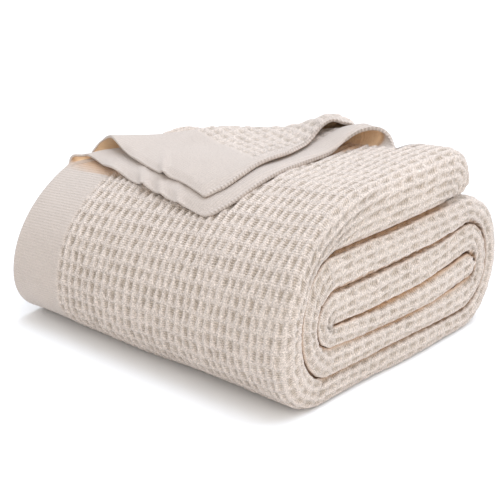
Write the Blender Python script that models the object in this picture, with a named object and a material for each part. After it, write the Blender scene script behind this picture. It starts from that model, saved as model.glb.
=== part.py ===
"""Waffle weave cotton blanket: one woven cloth, folded in half three times across its width,
wound flat along its length into a pad of six layers, with one corner of its two outer plies
turned back on top in two soft loops.

Axes: +X from the plain banded edges to the rounded folds, -Y the big front face, +Z up.
The part stands on z = 0. Units are metres.
"""
import bpy
import numpy as np
from math import pi

# ---- driving sizes -------------------------------------------------------------------------
LENGTH = 0.330            # along X: an eighth of the cloth's full width
END_X = LENGTH / 2
BAND_END_HEIGHT = 0.75    # height at the plain bands, as a share of the height at the folds
BAND_END_DEPTH = 0.965    # the same for the depth along Y
END_SET_BACK = 0.012      # the end of the round folds isn't square: it is set back this far
SET_BACK_Y = (-0.120, 0.090)  # along the front, and less towards the back
LAYER_GAP = 0.0016        # clear gap between one layer of the winding and the next

PLIES = 8                 # plies in one layer
PLY_FILL = 0.74           # a ply's thickness, as a share of the ply pitch
HALF_PLY = 0.5 * PLY_FILL / PLIES
PLY_PITCH = (1.0 - 2.0 * HALF_PLY) / (PLIES - 1)

# The one strip of cloth goes back and forth through the plies, counted from the outside.
PLY_ORDER = (0, 7, 4, 3, 2, 5, 6, 1)
HEM_INSET = 0.004         # the second hem lies this far behind the first
FOLD_INSET = 0.009        # and the folds beside the hems this far

# Heights where one layer lies on the next, at the front, the middle and the back of the pad.
SEAM_Y = (-0.090, 0.0, 0.095)
SEAM_TABLE = {
    "top":        (0.178, 0.182, 0.181),
    "one_two":    (0.133, 0.131, 0.131),
    "two_three":  (0.100, 0.098, 0.103),
    "three_four": (0.070, 0.066, 0.074),
    "four_five":  (0.051, 0.045, 0.048),
    "five_six":   (0.024, 0.023, 0.021),
    "floor":      (0.000, 0.000, 0.000),
}
OPEN_SEAMS = ("top", "floor")

# Turns of the winding: the seams above and below, the furthest point in y and z, and how far
# the rounding above it and below it runs back in y. steps is the number of rungs round it.
TURN_COLUMNS = ("above", "below", "reach_y", "reach_z", "run_above", "run_below", "steps")
TURN_TABLE = {
    "front":     ("top",        "floor",      -0.1490, 0.060, 0.125, 0.048, 12),
    "front_mid": ("one_two",    "five_six",   -0.1225, 0.078, 0.040, 0.036, 8),
    "front_in":  ("two_three",  "four_five",  -0.1035, 0.074, 0.024, 0.020, 6),
    "front_tip": ("three_four", "three_four", -0.0850, 0.069, 0.004, 0.004, 6),
    "back":      ("one_two",    "floor",       0.1490, 0.062, 0.062, 0.050, 10),
    "back_mid":  ("two_three",  "five_six",    0.1300, 0.062, 0.032, 0.034, 8),
    "back_in":   ("three_four", "four_five",   0.1130, 0.060, 0.014, 0.014, 6),
    "last_end":  ("top",        "one_two",     0.1130, 0.150, 0.050, 0.024, 7),
}
OUTERMOST = ("front", "back", "last_end")
LAST_END_SHARE = 0.62     # how far round its turn the free end on top reaches
FIRST_END_SHARE = 0.62    # and how far round its turn the free end in the middle starts
LAST_END_SLANT = 0.004    # how far the first flat rung of the top layer leans
RUN_RUNGS = 1             # rungs along a flat run, between its ends
TOP_RUN_RUNGS = 3         # and along the top one, which is crowned

# The turned-back corner. Places on the top face are x and flat_y, which is y on the flat and
# arc length round the free end. From each place along the fold a flap goes back and up round a
# loop of the given radius and then, at the heading in degrees from +X, reaches past its fold
# to its free edge. A reach under 0 stops the flap short, on the loop itself.
FLAP_COLUMNS = ("fold_x", "fold_y", "heading", "reach", "radius")
FLAP_TABLE = {
    "lower": (
        (-0.1590, -0.0626,  -43.0, -0.0030, 0.0048),
        (-0.1500, -0.0550,  -43.5,  0.0140, 0.0048),
        (-0.1120, -0.0250,  -45.0,  0.0940, 0.0053),
        (-0.0600,  0.0150,  -55.0,  0.1545, 0.0057),
        (-0.0480,  0.0220,  -55.6,  0.1625, 0.0058),
        (-0.0100,  0.0410,  -59.6,  0.1403, 0.0066),
        ( 0.0400,  0.0540,  -71.4,  0.0939, 0.0082),
        ( 0.0780,  0.0580,  -94.0,  0.0530, 0.0087),
        ( 0.0980,  0.0585, -110.0,  0.0220, 0.0104),
        ( 0.1100,  0.0590, -116.0, -0.0030, 0.0104),
        ( 0.1200,  0.0590, -118.0, -0.0160, 0.0095),
    ),
    "upper": (
        (-0.1530, -0.0575,  -43.0, -0.0130, 0.0110),
        (-0.1350, -0.0430,  -43.5,  0.0060, 0.0112),
        (-0.1120, -0.0220,  -52.0,  0.0480, 0.0116),
        (-0.0660,  0.0130,  -54.3,  0.1270, 0.0120),
        (-0.0550,  0.0200,  -54.7,  0.1366, 0.0121),
        (-0.0200,  0.0380,  -60.8,  0.1168, 0.0128),
        ( 0.0200,  0.0500,  -73.6,  0.0813, 0.0140),
        ( 0.0500,  0.0560,  -92.0,  0.0560, 0.0150),
        ( 0.0660,  0.0580, -102.0,  0.0260, 0.0152),
        ( 0.0760,  0.0590, -108.0, -0.0020, 0.0150),
        ( 0.0830,  0.0590, -110.0, -0.0200, 0.0148),
    ),
}
FLAP_ROWS = 21            # rows of points along the fold
LOOP_STEPS = 7            # and points round the loop of each, and from there to its edge
LAY_STEPS = 5
FLAP_ROOT = 0.007         # how far a flap's root runs into its own ply
ROOT_FILL = 0.55          # and how thick it is there, as a share of the flap
FLAP_PLY = 0.0040         # thickness of a flap
FLAP_LIFT = 0.0020        # air under a flap at rest
SETTLE = 0.045            # distance over which a flap comes down after its loop
EDGE_WAVE = 0.0035        # height, length and depth of the waves along its banded edge
EDGE_WAVE_LENGTH = 0.027
EDGE_WAVE_DEPTH = 0.020
TOP_THICKNESS = 0.046     # of the top layer, along the fold
CUTTER_OVER = 0.012       # how far the cutter passes the bands, and starts before the fold
CUTTER_HIGH = 0.060       # how high it reaches over the top face
CUTTER_PAST_END = 0.5     # and how many rungs past the free end
PATH_FINER = 6            # how many times as dense the top face is worked out

COTTON = (0.80, 0.73, 0.66, 1.0)


# ---- the winding, in the YZ plane ----------------------------------------------------------
def seam_height(name, y):
    """Height of a seam at y: the parabola through its front, middle and back heights."""
    curve = np.polyfit(SEAM_Y, SEAM_TABLE[name], 2)
    return np.polyval(curve, np.clip(y, SEAM_Y[0], SEAM_Y[2]))


def face_height(name, side, y):
    """Height at y of the face above (side +1) or below (side -1) a seam."""
    gap = 0.0 if name in OPEN_SEAMS else LAYER_GAP / 2
    return seam_height(name, y) + side * gap


def turn(name):
    """A turn's row, by column name, with the side it faces and where its roundings start."""
    row = dict(zip(TURN_COLUMNS, TURN_TABLE[name]))
    row["side"] = 1.0 if row["reach_y"] > 0 else -1.0
    row["start_above"] = row["reach_y"] - row["side"] * row["run_above"]
    row["start_below"] = row["reach_y"] - row["side"] * row["run_below"]
    return row


def turn_curve(name, grow, share):
    """Points of a turn, moved out (grow +1) or in (grow -1) by half a gap.

    share runs from 0 at the seam above, through 0.5 at the furthest point, to 1 below.
    """
    row = turn(name)
    gap = 0.0 if name in OUTERMOST else grow * LAYER_GAP / 2
    reach = row["reach_y"] + row["side"] * gap
    above = face_height(row["above"], grow, row["start_above"])
    below = face_height(row["below"], -grow, row["start_below"])
    angle = pi * np.asarray(share, dtype=float)
    upper = angle <= pi / 2
    start = np.where(upper, row["start_above"], row["start_below"])
    edge = np.where(upper, above, below)
    y = start + (reach - start) * np.sin(angle)
    z = row["reach_z"] + (edge - row["reach_z"]) * np.abs(np.cos(angle))
    return np.stack([y, z], axis=-1)


def turn_rungs(outer, inner):
    """Rungs round a turn: pairs of points on its outer and inner face, from above to below."""
    return turn_faces(outer, inner, np.linspace(0.0, 1.0, turn(outer)["steps"] + 1))


def turn_faces(outer, inner, share):
    """The same pairs of points at any shares of the turn."""
    return np.stack([turn_curve(outer, -1, share), turn_curve(inner, 1, share)], axis=1)


def run_rungs(outer_face, outer_y, inner_face, inner_y, rungs=RUN_RUNGS):
    """Rungs along a flat run between two turns, without the turns' own end rungs."""
    share = np.linspace(0.0, 1.0, rungs + 2)[1:-1]
    faces = []
    for (seam, side), (start, end) in ((outer_face, outer_y), (inner_face, inner_y)):
        y = start + (end - start) * share
        faces.append(np.stack([y, face_height(seam, side, y)], axis=-1))
    return np.stack(faces, axis=1)


def last_end_rungs(steps):
    """The free end on top, rounded down to the layer below with its hems tucked under."""
    share = np.linspace(LAST_END_SHARE, 0.0, steps + 1)
    row = turn("last_end")
    outer = turn_curve("last_end", -1, share)
    outer[:, 1] += LAYER_GAP * np.clip(share - 0.5, 0.0, None)
    inner_y = np.linspace(row["start_below"], row["start_above"] - LAST_END_SLANT, len(share))
    inner = np.stack([inner_y, face_height("one_two", 1, inner_y)], axis=-1)
    return np.stack([outer, inner], axis=1)


def first_end_rungs():
    """The free end in the middle of the winding, rounded where it fills the last turn."""
    share = np.linspace(1.0, FIRST_END_SHARE, 4)
    outer = turn_curve("back_in", -1, share)
    inner = turn_curve("back_in", -1, 1.0 - share)
    return np.stack([outer, inner], axis=1)


def top_run_rungs(rungs):
    """Rungs along the top layer, between its free end and the front turn."""
    start = turn("last_end")["start_above"]
    return run_rungs(("top", 1), (start, turn("front")["start_above"]),
                     ("one_two", 1), (start - LAST_END_SLANT, turn("front_mid")["start_above"]),
                     rungs)


def winding():
    """All rungs of the flat spiral, from the free end on top to the one in the middle."""
    front, front_mid, front_in = turn("front"), turn("front_mid"), turn("front_in")
    front_tip, back, back_mid = turn("front_tip"), turn("back"), turn("back_mid")
    back_in = turn("back_in")
    layer_six = run_rungs(
        ("floor", 1), (front["start_below"], back["start_below"]),
        ("five_six", -1), (front_mid["start_below"], back_mid["start_below"]))
    layer_two = run_rungs(
        ("one_two", -1), (back["start_above"], front_mid["start_above"]),
        ("two_three", 1), (back_mid["start_above"], front_in["start_above"]))
    layer_five = run_rungs(
        ("five_six", 1), (front_mid["start_below"], back_mid["start_below"]),
        ("four_five", -1), (front_in["start_below"], back_in["start_below"]))
    layer_three = run_rungs(
        ("two_three", -1), (back_mid["start_above"], front_in["start_above"]),
        ("three_four", 1), (back_in["start_above"], front_tip["start_above"]))
    layer_four = run_rungs(
        ("four_five", 1), (front_in["start_below"], back_in["start_below"]),
        ("three_four", -1), (front_tip["start_below"], back_in["start_above"]))
    return np.concatenate([
        last_end_rungs(turn("last_end")["steps"]), top_run_rungs(TOP_RUN_RUNGS),
        turn_rungs("front", "front_mid"), layer_six,
        turn_rungs("back", "back_mid")[::-1], layer_two,
        turn_rungs("front_mid", "front_in"), layer_five,
        turn_rungs("back_mid", "back_in")[::-1], layer_three,
        turn_rungs("front_in", "front_tip"), layer_four,
        first_end_rungs(),
    ])


def settle(x, y, z):
    """The pad is lower and less deep at its plain bands, and its folds' end is set back in front."""
    share = np.clip((x + END_X) / LENGTH, 0.0, 1.0)
    deep = BAND_END_DEPTH + (1.0 - BAND_END_DEPTH) * share
    high = BAND_END_HEIGHT + (1.0 - BAND_END_HEIGHT) * share
    front = np.clip((SET_BACK_Y[1] - y) / (SET_BACK_Y[1] - SET_BACK_Y[0]), 0.0, 1.0)
    set_back = END_SET_BACK * front * front * (3.0 - 2.0 * front)
    return np.stack([x - set_back * share * share, y * deep, z * high], axis=-1)


# ---- the folded strip, in the plane of X and the thickness ---------------------------------
def ply_level(ply):
    """Level of a ply's middle through the layer: 1 at the outer face, 0 at the inner."""
    return 1.0 - HALF_PLY - ply * PLY_PITCH


def hem_x(ply):
    """Where a free edge ends at the banded side."""
    return -END_X + (0.0 if ply == 0 else HEM_INSET)


def fold_arc(start, end, side, half):
    """One face of a fold from ply start to ply end, as columns x, level and roundness.

    A point's true x is its x plus its roundness times the layer's thickness, so that thick
    layers have full, round folds and thin ones have flat folds.
    """
    middle = (ply_level(start) + ply_level(end)) / 2
    radius = abs(ply_level(start) - ply_level(end)) / 2 + half
    steps = 2 + int(round(6 * radius))
    angle = np.linspace(pi / 2, -pi / 2, steps + 1)
    up = 1.0 if ply_level(start) > middle else -1.0
    outermost = 0.5 if side > 0 else (0.5 * PLY_PITCH + HALF_PLY if {start, end} == {2, 3}
                                      else 1.5 * PLY_PITCH + HALF_PLY)
    base = END_X if side > 0 else -END_X + FOLD_INSET
    x = np.full(angle.shape, base)
    level = middle + up * radius * np.sin(angle)
    roundness = side * (radius * np.cos(angle) - outermost)
    return np.stack([x, level, roundness], axis=-1)


def strip_outline():
    """The closed outline of the back-and-forth strip: its left face, then its right face."""
    left, right = [], []
    heading = 1
    first, last = PLY_ORDER[0], PLY_ORDER[-1]
    left.append([[hem_x(first), ply_level(first) + HALF_PLY, 0.0]])
    right.append([[hem_x(first), ply_level(first) - HALF_PLY, 0.0]])
    for start, end in zip(PLY_ORDER[:-1], PLY_ORDER[1:]):
        turns_right = (ply_level(end) < ply_level(start)) == (heading > 0)
        half = HALF_PLY if turns_right else -HALF_PLY
        left.append(fold_arc(start, end, heading, half))
        right.append(fold_arc(start, end, heading, -half))
        heading = -heading
    left.append([[hem_x(last), ply_level(last) - HALF_PLY, 0.0]])
    right.append([[hem_x(last), ply_level(last) + HALF_PLY, 0.0]])
    return np.concatenate([np.concatenate(left), np.concatenate(right)[::-1]])


def pad_mesh():
    """The strip's outline carried along every rung of the winding, closed at both ends."""
    rungs = winding()
    outline = strip_outline()
    outer, inner = rungs[:, None, 0], rungs[:, None, 1]
    yz = inner + (outer - inner) * outline[None, :, 1, None]
    x = outline[None, :, 0] + outline[None, :, 2] * thickness(rungs)[:, None]
    return sweep_mesh("blanket", settle(x, yz[..., 0], yz[..., 1]))


def thickness(rungs):
    """A layer's thickness at each rung, square to the way the winding runs."""
    along = np.gradient(rungs.mean(axis=1), axis=0)
    across = rungs[:, 0] - rungs[:, 1]
    turned = along[:, 0] * across[:, 1] - along[:, 1] * across[:, 0]
    return np.abs(turned) / np.linalg.norm(along, axis=1)


# ---- the turned-back corner ----------------------------------------------------------------
def unrolled(rungs):
    """Unrolled y of each rung: y itself on the flat, and arc length round the free end."""
    step = np.linalg.norm(np.diff(rungs[:, 0], axis=0), axis=1)
    length = np.concatenate([[0.0], np.cumsum(step)])
    flat = turn("last_end")["start_above"]
    nearest = np.abs(rungs[:, 0, 0] - flat) + (rungs[:, 0, 1] < SEAM_TABLE["top"][2] - 0.004)
    return flat + length[np.argmin(nearest)] - length


def top_rungs(finer):
    """The top layer's rungs from its free end into the front turn, finer times as dense."""
    front_share = np.linspace(0.0, 0.5, 1 + finer * turn("front")["steps"] // 2)
    return np.concatenate([
        last_end_rungs(finer * turn("last_end")["steps"]),
        top_run_rungs(finer * (TOP_RUN_RUNGS + 1) - 1),
        turn_faces("front", "front_mid", front_share)])


def on_top(x, flat_y, height):
    """Points at a height over the top face, at x and flat_y."""
    rungs = top_rungs(PATH_FINER)
    path_y = unrolled(rungs)[::-1]
    face = rungs[::-1, 0]
    way = np.gradient(face, path_y, axis=0)
    way /= np.linalg.norm(way, axis=1, keepdims=True)
    y, z, way_y, way_z = (np.interp(flat_y, path_y, column)
                          for column in (face[:, 0], face[:, 1], way[:, 0], way[:, 1]))
    return settle(x, y - height * way_z, z + height * way_y)


def smooth_rows(rows, count):
    """Catmull-Rom curve through a table's rows, at evenly spaced places."""
    rows = np.asarray(rows)
    ends = np.concatenate([2 * rows[:1] - rows[1:2], rows, 2 * rows[-1:] - rows[-2:-1]])
    place = np.linspace(0.0, len(rows) - 1.0, count)
    first = np.minimum(place.astype(int), len(rows) - 2)
    t = (place - first)[:, None]
    before, start, end, after = (ends[first + step] for step in range(4))
    return 0.5 * (2 * start + (end - before) * t
                  + (2 * before - 5 * start + 4 * end - after) * t ** 2
                  + (3 * start - before - 3 * end + after) * t ** 3)


def flap_rows(which, count):
    """The flap's table, smoothed, as columns by name."""
    return dict(zip(FLAP_COLUMNS, smooth_rows(FLAP_TABLE[which], count).T))


def flap_sheet(which, count=FLAP_ROWS, loop_steps=LOOP_STEPS, lay_steps=LAY_STEPS):
    """Middle points of a flap, rows by steps, and how far along the cloth each is from its fold."""
    depth, rests = {"lower": (HALF_PLY, 0), "upper": (HALF_PLY + PLY_PITCH, 1)}[which]
    row = {name: column[:, None] for name, column in flap_rows(which, count).items()}
    round_loop = pi * row["radius"]
    length = round_loop + row["reach"]
    loop_part = np.minimum(round_loop, length * loop_steps / (loop_steps + lay_steps))
    past = np.concatenate([
        np.full((count, 1), -FLAP_ROOT),
        loop_part * np.linspace(0.0, 1.0, loop_steps + 1)[:-1],
        loop_part + (length - loop_part) * np.linspace(0.0, 1.0, lay_steps + 1)], axis=1)

    angle = np.clip(past / row["radius"], 0.0, pi)
    beyond = np.clip(past - round_loop, 0.0, None)
    ahead = beyond - row["radius"] * np.sin(angle) - np.clip(past, None, 0.0)
    down = np.clip(beyond / SETTLE, 0.0, 1.0)
    down = down * down * (3.0 - 2.0 * down)
    loop_height = row["radius"] * (1.0 - np.cos(angle)) - depth * TOP_THICKNESS
    rest_height = (rests + 0.5) * FLAP_PLY + (rests + 1) * FLAP_LIFT
    height = loop_height + (rest_height - loop_height) * down

    heading = np.radians(row["heading"])
    x = row["fold_x"] + ahead * np.cos(heading)
    flat_y = row["fold_y"] + ahead * np.sin(heading)
    wave = 0.5 - 0.5 * np.cos(2 * pi * x / EDGE_WAVE_LENGTH)
    near_edge = np.exp((past - length) / EDGE_WAVE_DEPTH)
    height = height + EDGE_WAVE * wave * near_edge * down
    return on_top(x, flat_y, height), past


def flap_mesh(which):
    """A flap as a closed sheet, thinner at its root, which lies inside its own ply."""
    middle, past = flap_sheet(which)
    down_rows, across = np.gradient(middle, axis=0), np.gradient(middle, axis=1)
    normal = np.cross(across, down_rows)
    normal /= np.linalg.norm(normal, axis=-1, keepdims=True)
    thin = ROOT_FILL + (1.0 - ROOT_FILL) * np.clip(past / FLAP_ROOT, 0.0, 1.0)
    offset = normal * (0.5 * FLAP_PLY * thin)[..., None]
    return sheet_mesh("flap_" + which, middle + offset, middle - offset)


def sheet_mesh(name, front, back):
    """A closed solid between two grids of points."""
    rows, columns = front.shape[:2]
    one = np.arange(rows * columns).reshape(rows, columns)
    two = one + rows * columns
    faces = []
    for grid, flip in ((one, 1), (two, -1)):
        quads = np.stack([grid[:-1, :-1], grid[:-1, 1:], grid[1:, 1:], grid[1:, :-1]], axis=-1)
        faces += quads.reshape(-1, 4)[:, ::flip].tolist()
    rim = np.concatenate([one[0, :-1], one[:-1, -1], one[-1, :0:-1], one[:0:-1, 0]])
    ahead = np.roll(rim, -1)
    below = rows * columns
    faces += np.stack([ahead, rim, rim + below, ahead + below], axis=-1).tolist()
    mesh = bpy.data.meshes.new(name)
    mesh.from_pydata(np.concatenate([front.reshape(-1, 3), back.reshape(-1, 3)]).tolist(), [], faces)
    mesh.update()
    return mesh


def corner_cutter_mesh():
    """What the flaps leave behind: the outer two plies past the fold, and the air over them."""
    rungs = top_rungs(1)
    flat_y = unrolled(rungs)
    fold = flap_rows("lower", FLAP_ROWS)
    kept = flat_y > fold["fold_y"][0] - CUTTER_OVER
    rungs, flat_y = rungs[kept], flat_y[kept]
    before = np.clip(fold["fold_y"][0] - flat_y, 0.0, None)
    fold_x = np.interp(flat_y, fold["fold_y"], fold["fold_x"]) - before
    under_two = ply_level(1) - 0.5 * PLY_PITCH
    over = 1.0 + CUTTER_HIGH / TOP_THICKNESS
    outside_x = np.minimum(-END_X, fold_x) - CUTTER_OVER
    corners = ((outside_x, under_two), (fold_x, under_two), (fold_x, over), (outside_x, over))
    sections = []
    for x, level in corners:
        yz = rungs[:, 1] + (rungs[:, 0] - rungs[:, 1]) * level
        sections.append(settle(x, yz[:, 0], yz[:, 1]))
    points = np.stack(sections, axis=1)
    end = points[:1] + (points[:1] - points[1:2]) * CUTTER_PAST_END
    return sweep_mesh("corner_cutter", np.concatenate([end, points])[::-1])


def sweep_mesh(name, points):
    """A closed solid from a grid of points: closed sections along the second axis, flat ends.

    Every four corners are split the same way from the bands to the folds, so that faces close
    to each other stay parallel.
    """
    rows, columns = points.shape[:2]
    index = np.arange(rows * columns).reshape(rows, columns)
    ahead = np.roll(index, -1, axis=1)
    corners = [index[:-1], index[1:], ahead[1:], ahead[:-1]]
    towards_folds = (np.roll(points, -1, axis=1) - points)[:-1, :, 0] > 0
    halves = [np.stack([np.where(towards_folds, corners[one], corners[(one + 1) % 4]),
                        np.where(towards_folds, corners[two], corners[(two + 1) % 4]),
                        np.where(towards_folds, corners[three], corners[(three + 1) % 4])],
                       axis=-1).reshape(-1, 3)
              for one, two, three in ((0, 1, 2), (0, 2, 3))]
    faces = (np.concatenate(halves).tolist()
             + [index[0].tolist(), index[-1, ::-1].tolist()])
    mesh = bpy.data.meshes.new(name)
    mesh.from_pydata(points.reshape(-1, 3).tolist(), [], faces)
    mesh.update()
    return mesh


def add_object(name, mesh):
    """Link a mesh as an object."""
    thing = bpy.data.objects.new(name, mesh)
    bpy.context.scene.collection.objects.link(thing)
    return thing


def add_boolean(target, operation, tool):
    """Cut or join with a tool object, which itself is only a guide."""
    modifier = target.modifiers.new(tool.name, "BOOLEAN")
    modifier.operation = operation
    modifier.solver = "EXACT"
    modifier.object = tool
    tool.hide_render = True
    tool.display_type = "WIRE"


def cotton():
    """Undyed cream cotton."""
    material = bpy.data.materials.new("cream cotton")
    material.use_nodes = True
    shader = material.node_tree.nodes["Principled BSDF"]
    shader.inputs["Base Color"].default_value = COTTON
    shader.inputs["Roughness"].default_value = 0.9
    shader.inputs["Metallic"].default_value = 0.0
    return material


def main():
    """Build the blanket as one closed solid."""
    for thing in list(bpy.data.objects):
        bpy.data.objects.remove(thing, do_unlink=True)
    blanket = add_object("blanket", pad_mesh())
    blanket.data.materials.append(cotton())
    add_boolean(blanket, "DIFFERENCE", add_object("corner_cutter", corner_cutter_mesh()))
    for which in FLAP_TABLE:
        add_boolean(blanket, "UNION", add_object("flap_" + which, flap_mesh(which)))


if __name__ == "__main__":
    main()
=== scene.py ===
"""Waffle weave cotton blanket, folded and wound: its cloth surfaces, weave and stage.

The cloth's faces are grids worked out with numpy on the same flat spiral as the solid: the outer
ply with its round folds, the plies that show at the bands, the uncovered third ply, and the two
turned-back flaps. Units are metres.
"""
import functools
from math import cos, pi, radians, sin
from typing import NamedTuple

import bpy
import numpy as np
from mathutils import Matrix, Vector


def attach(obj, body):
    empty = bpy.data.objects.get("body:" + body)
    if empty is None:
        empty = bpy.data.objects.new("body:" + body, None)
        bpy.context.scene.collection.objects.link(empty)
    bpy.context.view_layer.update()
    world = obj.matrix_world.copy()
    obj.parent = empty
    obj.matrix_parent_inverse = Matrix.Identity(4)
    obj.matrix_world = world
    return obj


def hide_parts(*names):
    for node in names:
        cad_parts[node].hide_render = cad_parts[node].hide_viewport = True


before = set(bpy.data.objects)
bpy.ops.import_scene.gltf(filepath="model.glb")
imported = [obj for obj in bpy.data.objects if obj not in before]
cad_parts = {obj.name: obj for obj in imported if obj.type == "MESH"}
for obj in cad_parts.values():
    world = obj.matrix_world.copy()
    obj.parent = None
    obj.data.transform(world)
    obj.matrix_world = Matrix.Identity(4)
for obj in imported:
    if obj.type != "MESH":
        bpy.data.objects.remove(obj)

bl_info = {
    "name": "Waffle Weave Blanket",
    "version": (1, 0, 0),
    "blender": (4, 5, 0),
    "location": "3D View > Sidebar > Blanket",
    "description": "Builds a folded waffle weave cotton blanket on its solid",
    "category": "Add Mesh",
}

# ---- the folded and wound cloth, as in the solid ----
MM = 0.001
BODY = "root"
NODE = "blanket"

LENGTH = 0.330  # across the folded face, from the bands at -X to the folds at +X
END_X = LENGTH / 2
BAND_END_HEIGHT = 0.75  # share of the height, and of the depth, that is left at the bands
BAND_END_DEPTH = 0.965
END_SET_BACK = 0.012  # the folds' end is set back along the front
SET_BACK_Y = (0.090, -0.120)  # where the set-back starts, and where it is whole
LAYER_GAP = 0.0004
PLIES = 8
PLY_FILL = 0.74  # share of a layer that its plies fill
HALF_PLY = 0.5 * PLY_FILL / PLIES
PLY_PITCH = (1.0 - 2.0 * HALF_PLY) / (PLIES - 1)
HEM_INSET = 0.004  # hems and folds of the inner plies stand back from the bands' end
FOLD_INSET = 0.009

SEAM_Y = (-0.090, 0.0, 0.095)
SEAM_TABLE = {
    "top":        (0.178, 0.182, 0.181),
    "one_two":    (0.133, 0.131, 0.131),
    "two_three":  (0.100, 0.098, 0.103),
    "three_four": (0.070, 0.066, 0.074),
    "four_five":  (0.051, 0.045, 0.048),
    "five_six":   (0.024, 0.023, 0.021),
    "floor":      (0.000, 0.000, 0.000),
}
OPEN_SEAMS = ("top", "floor")
TURN_COLUMNS = ("above", "below", "reach_y", "reach_z", "run_above", "run_below")
TURN_TABLE = {
    "front":     ("top",        "floor",      -0.1490, 0.060, 0.125, 0.048),
    "front_mid": ("one_two",    "five_six",   -0.1225, 0.078, 0.040, 0.036),
    "front_in":  ("two_three",  "four_five",  -0.1035, 0.074, 0.024, 0.020),
    "front_tip": ("three_four", "three_four", -0.0850, 0.069, 0.004, 0.004),
    "back":      ("one_two",    "floor",       0.1490, 0.062, 0.062, 0.050),
    "back_mid":  ("two_three",  "five_six",    0.1300, 0.062, 0.032, 0.034),
    "back_in":   ("three_four", "four_five",   0.1130, 0.060, 0.014, 0.014),
    "last_end":  ("top",        "one_two",     0.1130, 0.150, 0.050, 0.024),
}
OUTERMOST = ("front", "back", "last_end")
END_SHARE = 0.62  # share of a turn that rounds the free ends
LAST_END_SLANT = 0.004  # how much sooner its inner face starts
END_WAY = 4  # points over which the free end's way out is taken
TURN_STEPS = 90
RUN_STEPS = 60
THICK_WINDOW = 21  # points over which the winding's thickness is smoothed
# Where the skin's stretches meet, past the start of the front turn, the floor and layer two.
MOUTHS = {"front_mouth": ("front", 0.055), "floor_mouth": ("floor", 0.020),
          "layer_two_end": ("layer_two", 0.030)}

# ---- the turned-back corner ----
# Each row: x and y of a place on the fold, the heading from there, the reach to the free edge
# along it, and the loop's radius. In millimetres and degrees.
FLAP_UNITS = (MM, MM, 1.0, MM, MM)
FLAP_TABLE = {
    "lower": (
        (-165, -71, -43, -7, 2.5),
        (-160, -65.5, -43, -5.2, 5.5),
        (-150, -57.5, -40, 0, 3.7),
        (-139.6, -46.8, -44, 33, 3.3),
        (-128, -37, -46.1, 54, 3),
        (-120, -31.2, -47.5, 69, 3.2),
        (-112, -25, -49.4, 79, 4),
        (-90, -8, -52, 110, 5.2),
        (-72, 6, -53.1, 134.6, 5.8),
        (-60, 15, -54.4, 149, 5.7),
        (-48, 22, -56.9, 153.6, 5.8),
        (-30, 32, -60.5, 151.8, 6),
        (-10, 41, -63, 141.4, 6.4),
        (15, 49, -67.2, 117.8, 6.6),
        (40, 54, -73.8, 88.6, 6.8),
        (60, 57, -82, 63.7, 9),
        (74, 58, -92, 40, 10.6),
        (78.5, 58.3, -97, 22, 10.4),
        (83, 58.5, -101, 9, 9.9),
        (91, 58.8, -108, -4, 9.1),
        (99, 59, -112, -13, 8.1),
        (106, 59.2, -115, -16.5, 7),
        (113, 59.4, -117, -16, 5.8),
        (116.5, 64, -135, -5, 3),
        (118.5, 75, -160, -3.6, 2.4),
        (119.5, 90, -172, -3.4, 2.1),
        (120, 105, -178, -3.2, 1.9),
        (120, 120, -180, -3, 1.7),
        (120, 135, -180, -3, 1.7),
    ),
    "upper": (
        (-147.8, -55.5, -43, -15, 9.2),
        (-142.5, -49.5, -43, -22, 15),
        (-138, -45.5, -43, -14, 14.7),
        (-132.5, -40.5, -43, -1, 14.5),
        (-126, -34, -42, 25, 13.2),
        (-118, -27, -44.3, 46.5, 12.3),
        (-100, -12, -48, 79, 10.9),
        (-80, 3, -49.6, 108, 11.2),
        (-66, 13, -51.3, 128.3, 12.1),
        (-55, 20, -54, 136, 12.2),
        (-38, 30, -58.2, 132.8, 11.3),
        (-20, 38, -62.6, 126.4, 10.4),
        (0, 45, -67.8, 111.1, 11),
        (14, 49, -71.6, 92.7, 12.6),
        (24, 51.5, -72.1, 80, 14.4),
        (32, 53.5, -73, 64.7, 16),
        (38.5, 55, -76, 41.4, 17.2),
        (43.5, 56, -80, 20, 17.2),
        (48, 57.2, -86, 9.5, 16.8),
        (53, 58, -92, 5, 15.5),
        (58, 58.6, -98, 1, 13.6),
        (66, 59, -104, -18, 10),
        (78, 59.3, -112, -20, 7),
        (96, 59.6, -117, -15, 5),
        (112, 60, -120, -11, 3.8),
        (118, 75, -160, -8, 2.8),
        (119.5, 90, -172, -8, 2.8),
        (120, 120, -180, -8, 2.8),
        (120, 134.5, -180, -8, 2.8),
    ),
}
# Arches along each flap's free edge: where, how high, and half their width.
FLAP_ARCHES = {
    "lower": ((-0.1036, 0.007, 0.016), (-0.052, 0.008, 0.0065), (-0.026, 0.0056, 0.0045),
              (0.0, 0.0045, 0.005)),
    "upper": ((-0.0853, 0.003, 0.015), (-0.038, 0.007, 0.0042), (0.049, 0.003, 0.008)),
}
# The corner of each flap on the top face, the run of its banded edge in degrees from +X, and
# how wide the plain weave is along its selvage.
FLAP_CORNER = {"lower": (0.036, -0.108, -15.5, 0.022), "upper": (0.026, -0.091, -21.4, 0.009)}
FLAP_ROOT = 0.007  # how far a flap reaches back under its fold line
FLAP_LIFT = 0.0022
FLAP_BODY = 0.0040  # height that one flap takes in the stack of the two
SETTLE = 0.045  # a flap comes down from its loop over this way
ARCH_DEPTH = 0.018
ARCH_REACH = (0.0, 0.030)  # arches need a row that reaches out this far
EDGE_SAG, SAG_RUN = 0.0024, (0.016, 0.0)  # a free edge's sag, and where it starts and is whole
TOP_THICKNESS = 0.046  # of the layer that the flaps' plies lie in
FLAP_ROWS = 250
END_ROWS = 3  # rows over which a flap thins out at its two ends
FOLD_LINE_ROWS = 400
LOOP_STEPS = 26
LAY_STEPS = 84
LAY_CROWDING = 1.25  # power that crowds a flap's columns towards its free edge

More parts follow.
